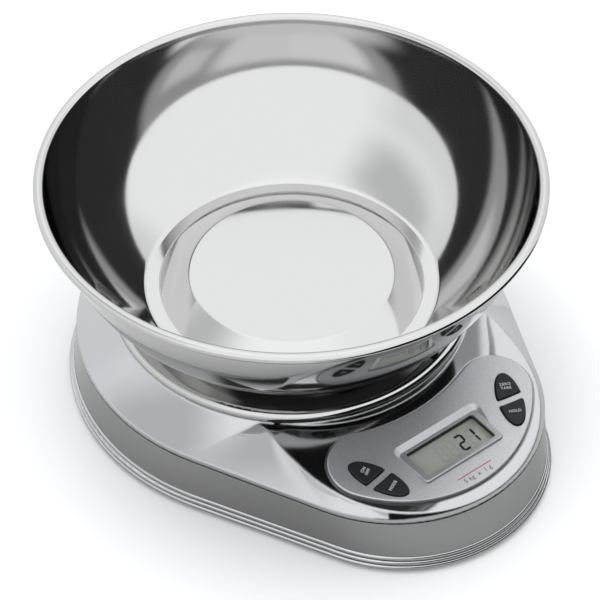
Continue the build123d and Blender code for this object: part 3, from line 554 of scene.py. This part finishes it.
@dataclass
class Printing:
    """Pad-printed words: the four key legends and the capacity mark on the panel."""

    plane: PanelPlane
    ink: Ink
    key_letter: float = 2.0125 * MM
    mark_letter: float = 3.1 * MM
    mark_rise: float = -18.6 * MM
    bar_rise: float = -16.2 * MM
    bar_size: tuple[float, float] = (19.0 * MM, 0.45 * MM)
    letter_spacing: float = 1.08
    line_spacing: float = 1.05
    ink_depth: float = 0.03 * MM

    def words(self, name: str, text: str, size: float, finish: Finish) -> bpy.types.Object:
        """Words as a thin flat mesh about the origin.

        Args:
            name: the piece's name.
            text: what it says.
            size: the letter size in metres.
            finish: the ink.

        Returns:
            The object, not yet in place.
        """
        curve = bpy.data.curves.new(name, "FONT")
        curve.body = text
        curve.size = size
        curve.align_x = "CENTER"
        curve.align_y = "CENTER"
        curve.space_line = self.line_spacing
        curve.resolution_u = 3
        curve.extrude = self.ink_depth / 2
        curve.space_character = self.letter_spacing
        holder = bpy.data.objects.new(name + "_curve", curve)
        bpy.context.scene.collection.objects.link(holder)
        bpy.context.view_layer.update()
        mesh = bpy.data.meshes.new_from_object(
            holder.evaluated_get(bpy.context.evaluated_depsgraph_get())
        )
        bpy.data.objects.remove(holder)
        mesh.name = name
        mesh.materials.clear()
        mesh.materials.append(self.ink.get(finish))
        piece = bpy.data.objects.new(name, mesh)
        bpy.context.scene.collection.objects.link(piece)
        return piece

    def cap_centre(self, node: str) -> Vector:
        """The middle of a key's top face, by area.

        Args:
            node: the key's node.

        Returns:
            The point.
        """
        mesh = self.plane.frame["nodes"][node].data
        total = Vector((0.0, 0.0, 0.0))
        area = 0.0
        for face in mesh.polygons:
            if face.normal.dot(self.plane.normal) > TOP_FACE_DOT:
                total += face.center * face.area
                area += face.area
        return total / area

    def key_legend(self, key: KeyFunction) -> bpy.types.Object:
        """Print one key's words on its cap.

        Args:
            key: which key.

        Returns:
            The legend, riding on its key.
        """
        node, body, text, turn = key.value
        away = self.cap_centre(node) - self.plane.origin
        piece = self.words("legend_" + node, text, self.key_letter, LEGEND_INK)
        top = self.plane.key_proud + self.ink_depth / 2
        spot = self.plane.place(away.x, self.plane.uphill.dot(away), turn, top)
        piece.data.transform(spot)
        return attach(piece, body)

    def capacity_mark(self) -> list[bpy.types.Object]:
        """Print a plain capacity mark in front of the window, with a thin bar over it.

        Returns:
            The words and the bar.
        """
        text = self.words("capacity_mark", "5 kg  x  1 g", self.mark_letter, MARK_INK)
        text.data.transform(self.plane.place(0.0, self.mark_rise, 0.0, self.ink_depth))
        bar = bmesh.new()
        bmesh.ops.create_cube(bar, size=1.0)
        bmesh.ops.scale(bar, vec=(*self.bar_size, self.ink_depth), verts=bar.verts)
        bmesh.ops.transform(
            bar, matrix=self.plane.place(0.0, self.bar_rise, 0.0, self.ink_depth), verts=bar.verts
        )
        line = new_piece("capacity_bar", bar, self.ink.get(ACCENT_INK))
        pieces = [text, line]
        for piece in pieces:
            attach(piece, "base")
        return pieces


class Segment(Enum):
    """The seven bars of a digit: centre across, centre up, and whether it lies flat."""

    TOP = (0.0, 1.0, True)
    TOP_RIGHT = (1.0, 0.5, False)
    LOW_RIGHT = (1.0, -0.5, False)
    BOTTOM = (0.0, -1.0, True)
    LOW_LEFT = (-1.0, -0.5, False)
    TOP_LEFT = (-1.0, 0.5, False)
    MIDDLE = (0.0, 0.0, True)


LIT: dict[str, tuple[Segment, ...]] = {
    "2": (Segment.TOP, Segment.TOP_RIGHT, Segment.MIDDLE, Segment.LOW_LEFT, Segment.BOTTOM),
    "1": (Segment.TOP_RIGHT, Segment.LOW_RIGHT),
    " ": (),
}


@dataclass
class Display:
    """Seven-bar digits in the liquid-crystal cell, dark where switched on."""

    ink: Ink
    reading: str = "  21"
    digit_height: float = 9.9 * MM
    digit_width: float = 4.8 * MM
    pitch: float = 5.8 * MM
    last_centre: float = 12.6 * MM
    bar: float = 1.25 * MM
    gap: float = 0.22 * MM
    depth: float = 0.02 * MM
    lean: float = 0.06
    rise: float = -0.3 * MM
    point: float = 0.42

    def one_bar(self, mesh: bmesh.types.BMesh, segment: Segment, x: float) -> None:
        """Add one bar with pointed ends.

        Args:
            mesh: the bmesh that takes it.
            segment: which bar.
            x: the digit's centre in metres.
        """
        across, up, flat = segment.value
        reach_x = (self.digit_width - self.bar) / 2
        reach_y = (self.digit_height - self.bar) / 2
        length = (2 * reach_x if flat else reach_y) - self.gap
        before = set(mesh.verts)
        made = bmesh.ops.create_cube(mesh, size=1.0)["verts"]
        size = (length, self.bar, self.depth) if flat else (self.bar, length, self.depth)
        bmesh.ops.scale(mesh, vec=size, verts=made)
        edges = {e for v in made for e in v.link_edges}
        upright = [e for e in edges if abs(e.verts[0].co.z - e.verts[1].co.z) > self.depth / 2]
        bmesh.ops.bevel(
            mesh, geom=upright, offset=self.bar * self.point, offset_type="OFFSET", segments=1,
            profile=0.5, affect="EDGES", material=-1,
        )
        moved = [v for v in mesh.verts if v not in before]
        shift = Vector((x + across * reach_x, up * reach_y, 0.0))
        bmesh.ops.translate(mesh, vec=shift, verts=moved)

    def digits(self, lit: bool) -> bmesh.types.BMesh:
        """All bars that are on, or all that are off.

        Args:
            lit: whether the bars that are on are wanted.

        Returns:
            The bars about the window's centre.
        """
        mesh = bmesh.new()
        for place, sign in enumerate(reversed(self.reading)):
            x = self.last_centre - place * self.pitch
            for segment in Segment:
                if (segment in LIT[sign]) == lit:
                    self.one_bar(mesh, segment, x)
        lean = Matrix(((1, self.lean, 0, 0), (0, 1, 0, 0), (0, 0, 1, 0), (0, 0, 0, 1)))
        bmesh.ops.transform(mesh, matrix=lean, verts=mesh.verts)
        return mesh

    def build(self) -> list[bpy.types.Object]:
        """Set the bars just above the cell's glass.

        Returns:
            The dark bars and the faint ones.
        """
        low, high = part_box("lcd_lens")
        glass_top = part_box("lcd_glass")[1].z
        middle = (low + high) / 2
        pieces: list[bpy.types.Object] = []
        for name, lit, finish in (
            ("digits_on", True, CRYSTAL_DARK),
            ("digits_off", False, CRYSTAL_GHOST),
        ):
            mesh = self.digits(lit)
            spot = Vector((middle.x, middle.y + self.rise, glass_top + self.depth / 2))
            bmesh.ops.translate(mesh, vec=spot, verts=mesh.verts)
            piece = new_piece(name, mesh, self.ink.get(finish))
            pieces.append(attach(piece, "base"))
        return pieces


@dataclass
class Bowl:
    """The spun bowl: a raised centre, a foot ring, a round wall and a rolled rim.

    The line that is spun is the bowl's upper skin; the sheet's thickness lies under it.
    """

    ink: Ink
    sheet: float = 1.0 * MM
    kick_height: float = 8.0 * MM
    kick_radius: float = 47.27 * MM
    valley_radius: float = 61.27 * MM
    foot_radius: float = 67.7 * MM
    wall_radius: float = 96.98 * MM
    wall_centre_r: float = 14.45 * MM
    wall_centre_drop: float = 13.05 * MM
    roll_radius: float = 2.4 * MM
    roll_turn: float = 318.0
    wall_steps: int = 40
    roll_steps: int = 40
    spin_steps: int = 240
    kick_rounding: float = 0.95 * MM
    valley_rounding: float = 0.5 * MM
    foot_rounding: float = 1.2 * MM

    def round_corner(self, mesh: bmesh.types.BMesh, spot: Vector, offset: float) -> None:
        """Round the corner of the line nearest a point.

        Args:
            mesh: the bmesh that holds the line.
            spot: where the corner is.
            offset: how far along the line the rounding reaches.
        """
        corner = min(mesh.verts, key=lambda v: (v.co - spot).length)
        bmesh.ops.bevel(
            mesh, geom=[corner], offset=offset, offset_type="OFFSET", segments=6, profile=0.5,
            affect="VERTICES", material=-1,
        )

    def skin_line(self, mesh: bmesh.types.BMesh, axis_y: float, low: float, high: float) -> None:
        """Draw the upper skin from the axis out to the end of the roll.

        Args:
            mesh: the bmesh that takes the line.
            axis_y: the bowl's axis.
            low: the height the bowl stands at.
            high: the top of the rim.
        """
        floor = low + self.sheet
        spots = [
            Vector((0.0, axis_y, floor + self.kick_height)),
            Vector((self.kick_radius, axis_y, floor + self.kick_height)),
            Vector((self.valley_radius, axis_y, floor)),
            Vector((self.foot_radius, axis_y, floor)),
        ]
        verts = [mesh.verts.new(spot) for spot in spots]
        for first, second in zip(verts, verts[1:]):
            mesh.edges.new((first, second))
        centre = Vector((self.wall_centre_r, axis_y, high + self.wall_centre_drop))
        roll = Vector((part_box("bowl")[1].x - self.roll_radius, axis_y, high - self.roll_radius))
        start = spots[3] - centre
        end = roll - Vector((self.roll_radius, 0.0, 0.0)) - centre
        sweep = math.atan2(end.z, end.x) - math.atan2(start.z, start.x)
        made = bmesh.ops.spin(
            mesh, geom=[verts[3]], cent=centre, axis=(0.0, -1.0, 0.0), angle=sweep,
            steps=self.wall_steps,
        )
        last = next(v for v in made["geom_last"] if isinstance(v, bmesh.types.BMVert))
        bmesh.ops.spin(
            mesh, geom=[last], cent=roll, axis=(0.0, 1.0, 0.0),
            angle=math.radians(self.roll_turn), steps=self.roll_steps,
        )
        reaches = (self.kick_rounding, self.valley_rounding, self.foot_rounding)
        for spot, reach in zip(spots[1:], reaches):
            self.round_corner(mesh, spot, reach)

    def build(self) -> bpy.types.Object:
        """Spin the line into the bowl and give it its sheet.

        Returns:
            The bowl, standing for its node.
        """
        low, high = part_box("bowl")
        axis_y = (low.y + high.y) / 2
        mesh = bmesh.new()
        self.skin_line(mesh, axis_y, low.z, high.z)
        bmesh.ops.spin(
            mesh, geom=mesh.verts[:] + mesh.edges[:], cent=(0.0, axis_y, 0.0),
            axis=(0.0, 0.0, 1.0), angle=math.tau, steps=self.spin_steps, use_merge=True,
        )
        bmesh.ops.remove_doubles(mesh, verts=mesh.verts, dist=DISTINCT)
        bmesh.ops.recalc_face_normals(mesh, faces=mesh.faces)
        hub = Vector((0.0, axis_y))
        middle = min(mesh.faces, key=lambda f: (f.calc_center_median().xy - hub).length)
        if middle.normal.z < 0:
            bmesh.ops.reverse_faces(mesh, faces=mesh.faces)
        bmesh.ops.solidify(mesh, geom=mesh.faces[:], thickness=self.sheet)
        piece = new_piece("spun_bowl", mesh, self.ink.get(FINISHES["polished_steel"]), True)
        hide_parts("bowl")
        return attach(piece, "bowl")


@dataclass
class CadFinishes:
    """Gives every carried-over node the finish of its slot."""

    frame: dict[str, Any]
    ink: Ink

    def dress(self) -> None:
        """Set each node's material."""
        for part in self.frame["record"]["subparts"]:
            node = self.frame["nodes"][part["node"]]
            material = self.ink.get(FINISHES[part["material_slot"]])
            node.data.materials.clear()
            node.data.materials.append(material)
            LOG.info("dressed %s in %s", part["node"], material.name)
        self.frame["nodes"]["lcd_lens"].visible_shadow = False


@dataclass(frozen=True)
class Card:
    """A card or flag in the surroundings, by its place as seen from the object.

    Turns are in degrees from the camera's side, positive to the camera's right; rises are
    degrees above the floor.
    """

    turn: tuple[float, float]
    rise: tuple[float, float]
    strength: float
    soft: float = 5.0
    soft_rise: float = 4.0

    def edge(
        self, tree: bpy.types.NodeTree, source: bpy.types.NodeSocket, at: float, soft: float,
        rising: bool,
    ) -> bpy.types.NodeSocket:
        """One soft edge of the card.

        Args:
            tree: the world's node tree.
            source: the angle in radians.
            at: where the edge lies, in degrees.
            soft: half its width in degrees.
            rising: whether the card lies past the edge.

        Returns:
            The socket, 1 on the card.
        """
        ends = (0.0, 1.0) if rising else (1.0, 0.0)
        node = add_node(
            tree,
            "MapRange",
            {"interpolation_type": "SMOOTHSTEP"},
            {
                "From Min": math.radians(at - soft),
                "From Max": math.radians(at + soft),
                "To Min": ends[0],
                "To Max": ends[1],
            },
            {"Value": source},
        )
        return node.outputs[0]

    def over(
        self, tree: bpy.types.NodeTree, turn: bpy.types.NodeSocket, rise: bpy.types.NodeSocket,
        under: bpy.types.NodeSocket,
    ) -> bpy.types.NodeSocket:
        """Lay the card over what is behind it.

        Args:
            tree: the world's node tree.
            turn: the turn in radians.
            rise: the rise in radians.
            under: the strength behind the card.

        Returns:
            The strength with the card.
        """
        cover = self.edge(tree, rise, self.rise[0], self.soft_rise, True)
        for source, at, soft, rising in (
            (rise, self.rise[1], self.soft_rise, False),
            (turn, self.turn[0], self.soft, True),
            (turn, self.turn[1], self.soft, False),
        ):
            side = self.edge(tree, source, at, soft, rising)
            cover = add_node(
                tree, "Math", {"operation": "MULTIPLY"}, links={0: cover, 1: side}
            ).outputs[0]
        mix = add_node(
            tree, "Mix", {"data_type": "FLOAT"}, {3: self.strength}, {0: cover, 2: under}
        )
        return mix.outputs[0]


# What a surface sees of the room directly: bright all round, greyer low on the left.
NEAR_CARDS: tuple[Card, ...] = (
    Card((-150.0, -45.0), (-20.0, 27.0), 1.12, soft=14.0, soft_rise=8.0),
    Card((-125.0, -50.0), (32.0, 60.0), 0.82, soft=18.0, soft_rise=9.0),
    Card((112.0, 200.0), (-20.0, 36.0), 1.1, soft=10.0, soft_rise=8.0),
    Card((-200.0, -112.0), (-20.0, 36.0), 1.1, soft=10.0, soft_rise=8.0),
)
# What comes back by a second reflection: the dark side of the studio, past the lamps.
FAR_CARDS: tuple[Card, ...] = (
    Card((112.0, 200.0), (32.0, 72.0), 1.7, soft=10.0, soft_rise=6.0),
    Card((-200.0, -112.0), (32.0, 72.0), 1.6, soft=12.0, soft_rise=6.0),
    Card((-44.0, 88.0), (-20.0, 62.0), 0.06, soft=8.0, soft_rise=4.0),
    Card((14.0, 40.0), (4.0, 12.0), 1.3, soft=4.0, soft_rise=2.0),
    Card((-36.0, -14.0), (58.0, 72.0), 1.9, soft=5.0, soft_rise=3.0),
    Card((52.0, 100.0), (8.0, 16.0), 1.6, soft=6.0, soft_rise=2.5),
    Card((-100.0, -62.0), (40.0, 62.0), 1.35, soft=6.0, soft_rise=5.0),
)


@dataclass
class Studio:
    """Pale floor, soft surroundings, lights and camera."""

    ink: Ink
    azimuth: float = -38.3
    elevation: float = 44.94
    distance: float = 1.16919
    aim_height: float = 38.47 * MM
    aim_aside: float = 3.85 * MM
    lens_mm: float = 150.0
    sensor_mm: float = 36.0
    floor_size: float = 6.0
    room: float = 1.38
    dim_room: float = 0.75
    overhead: float = 1.5
    overhead_rise: tuple[float, float] = (1.05, 1.3)
    second_reflection: float = 2.5
    lamp_size: float = 0.7
    lamp_height: float = 1.6
    lamp_power: float = 4.0
    lamp_aside: float = 0.35
    flag_turn: tuple[float, float] = (0.0, 112.0)
    flag_reach: float = 0.2
    flag_height: float = 0.12
    flag_taper: float = 30.0

    def back(self) -> Vector:
        """The direction from the aim to the camera."""
        a, e = math.radians(self.azimuth), math.radians(self.elevation)
        return Vector((math.sin(a) * math.cos(e), -math.cos(a) * math.cos(e), math.sin(e)))

    def build_floor(self) -> bpy.types.Object:
        """A pale paper floor under the object.

        Returns:
            The floor.
        """
        mesh = bmesh.new()
        bmesh.ops.create_grid(mesh, x_segments=2, y_segments=2, size=self.floor_size / 2)
        floor = new_piece("floor", mesh, self.ink.get(FLOOR_PAPER))
        return floor

    def build_camera(self) -> None:
        """The camera, aimed beside the bowl's axis."""
        low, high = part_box("bowl")
        axis = (low + high) / 2
        a = math.radians(self.azimuth)
        aim = Vector(
            (
                axis.x + self.aim_aside * math.cos(a),
                axis.y + self.aim_aside * math.sin(a),
                self.aim_height,
            )
        )
        data = bpy.data.cameras.new("camera")
        data.lens = self.lens_mm
        data.sensor_width = self.sensor_mm
        camera = bpy.data.objects.new("camera", data)
        bpy.context.scene.collection.objects.link(camera)
        camera.location = aim + self.back() * self.distance
        camera.rotation_mode = "QUATERNION"
        camera.rotation_quaternion = (-self.back()).to_track_quat("-Z", "Y")
        bpy.context.scene.camera = camera

    def build_world(self) -> None:
        """Soft surroundings: a pale room with the cards and flags set round the object."""
        world = bpy.data.worlds.new("studio")
        bpy.context.scene.world = world
        world.use_nodes = True
        tree = world.node_tree
        tree.nodes.clear()
        way = add_node(tree, "TexCoord").outputs["Generated"]
        a = math.radians(self.azimuth)
        ahead = add_node(
            tree, "VectorMath", {"operation": "DOT_PRODUCT"},
            {1: (math.sin(a), -math.cos(a), 0.0)}, {0: way},
        )
        aside = add_node(
            tree, "VectorMath", {"operation": "DOT_PRODUCT"},
            {1: (math.cos(a), math.sin(a), 0.0)}, {0: way},
        )
        turn = add_node(
            tree, "Math", {"operation": "ARCTAN2"},
            links={0: aside.outputs["Value"], 1: ahead.outputs["Value"]},
        ).outputs[0]
        up = add_node(tree, "SeparateXYZ", links={0: way}).outputs["Z"]
        rise = add_node(tree, "Math", {"operation": "ARCSINE"}, links={0: up}).outputs[0]
        near = self.layered(tree, turn, rise, self.room, NEAR_CARDS)
        far = self.layered(tree, turn, rise, self.dim_room, FAR_CARDS)
        path = add_node(tree, "LightPath")
        depth = add_node(
            tree, "Math", {"operation": "SUBTRACT"},
            links={0: path.outputs["Ray Depth"], 1: path.outputs["Transmission Depth"]},
        )
        again = add_node(
            tree, "Math", {"operation": "GREATER_THAN"}, {1: self.second_reflection},
            {0: depth.outputs[0]},
        ).outputs[0]
        light = add_node(
            tree, "Mix", {"data_type": "FLOAT"}, links={0: again, 2: near, 3: far}
        ).outputs[0]
        sky = add_node(
            tree, "Background", values={"Color": linear("fafbfc")}, links={"Strength": light}
        )
        plain = add_node(
            tree, "Background", values={"Color": linear("fafafa"), "Strength": 1.0}
        )
        eye = add_node(tree, "LightPath").outputs["Is Camera Ray"]
        both = add_node(
            tree, "MixShader", links={0: eye, 1: sky.outputs[0], 2: plain.outputs[0]}
        )
        add_node(tree, "OutputWorld", links={"Surface": both.outputs[0]})

    def layered(
        self, tree: bpy.types.NodeTree, turn: bpy.types.NodeSocket, rise: bpy.types.NodeSocket,
        room: float, cards: tuple[Card, ...],
    ) -> bpy.types.NodeSocket:
        """The room with its cards over it.

        Args:
            tree: the world's node tree.
            turn: the turn in radians.
            rise: the rise in radians.
            room: the strength between the cards.
            cards: the cards, the furthest first.

        Returns:
            The strength.
        """
        light = add_node(
            tree,
            "MapRange",
            {"interpolation_type": "SMOOTHSTEP"},
            {
                "From Min": self.overhead_rise[0],
                "From Max": self.overhead_rise[1],
                "To Min": room,
                "To Max": self.overhead,
            },
            {"Value": rise},
        ).outputs[0]
        for card in cards:
            light = card.over(tree, turn, rise, light)
        return light

    def build_flag(self) -> None:
        """A low dark flag beside the base, seen only in its chrome."""
        mesh = bmesh.new()
        a = math.radians(self.azimuth + self.flag_turn[0])
        start = Vector((math.sin(a), -math.cos(a), 0.0)) * self.flag_reach
        low = mesh.verts.new(start)
        high = mesh.verts.new(start + Vector((0.0, 0.0, self.flag_height)))
        edge = mesh.edges.new((low, high))
        bmesh.ops.spin(
            mesh, geom=[low, high, edge], cent=(0, 0, 0), axis=(0, 0, 1),
            angle=math.radians(self.flag_turn[1] - self.flag_turn[0]), steps=24,
        )
        taper = math.radians(self.flag_taper)
        for vert in mesh.verts:
            across = vert.co.dot(start.normalized())
            away = math.acos(max(-1.0, min(1.0, across / self.flag_reach)))
            span = math.radians(self.flag_turn[1] - self.flag_turn[0])
            vert.co.z *= min(1.0, away / taper, (span - away) / taper)
        flag = new_piece("flag", mesh, self.ink.get(FLAG_CLOTH))
        for ray in ("camera", "shadow", "diffuse", "transmission"):
            setattr(flag, "visible_" + ray, False)

    def build_lamp(self) -> None:
        """A broad lamp overhead that lights the paper and throws the soft shadow."""
        data = bpy.data.lights.new("overhead", "AREA")
        data.shape = "DISK"
        data.size = self.lamp_size
        data.energy = self.lamp_power
        lamp = bpy.data.objects.new("overhead", data)
        bpy.context.scene.collection.objects.link(lamp)
        a = math.radians(self.azimuth)
        right = Vector((math.cos(a), math.sin(a), 0.0))
        away = Vector((-math.sin(a), math.cos(a), 0.0))
        level = (away - right) * self.lamp_aside
        lamp.location = level + Vector((0.0, 0.0, self.lamp_height))
        lamp.rotation_mode = "QUATERNION"
        lamp.rotation_quaternion = (-lamp.location).to_track_quat("-Z", "Y")
        lamp.visible_glossy = False
        lamp.visible_camera = False

    def build(self) -> None:
        """Build the whole studio."""
        self.build_floor()
        self.build_camera()
        self.build_world()
        self.build_lamp()
        self.build_flag()
        settings = bpy.context.scene.view_settings
        settings.view_transform = "Standard"
        settings.look = "None"


def main() -> None:
    """Dress the frame, add the printed and lit details, and set the studio."""
    logging.basicConfig(level=logging.INFO)
    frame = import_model()
    ink = Ink()
    CadFinishes(frame, ink).dress()
    LOG.info("spun %s", Bowl(ink).build().name)
    plane = PanelPlane(frame)
    printing = Printing(plane, ink)
    for key in KeyFunction:
        LOG.info("printed %s", printing.key_legend(key).name)
    for piece in printing.capacity_mark():
        LOG.info("printed %s", piece.name)
    for piece in Display(ink).build():
        LOG.info("set %s", piece.name)
    Studio(ink).build()


if __name__ == "__main__":
    main()
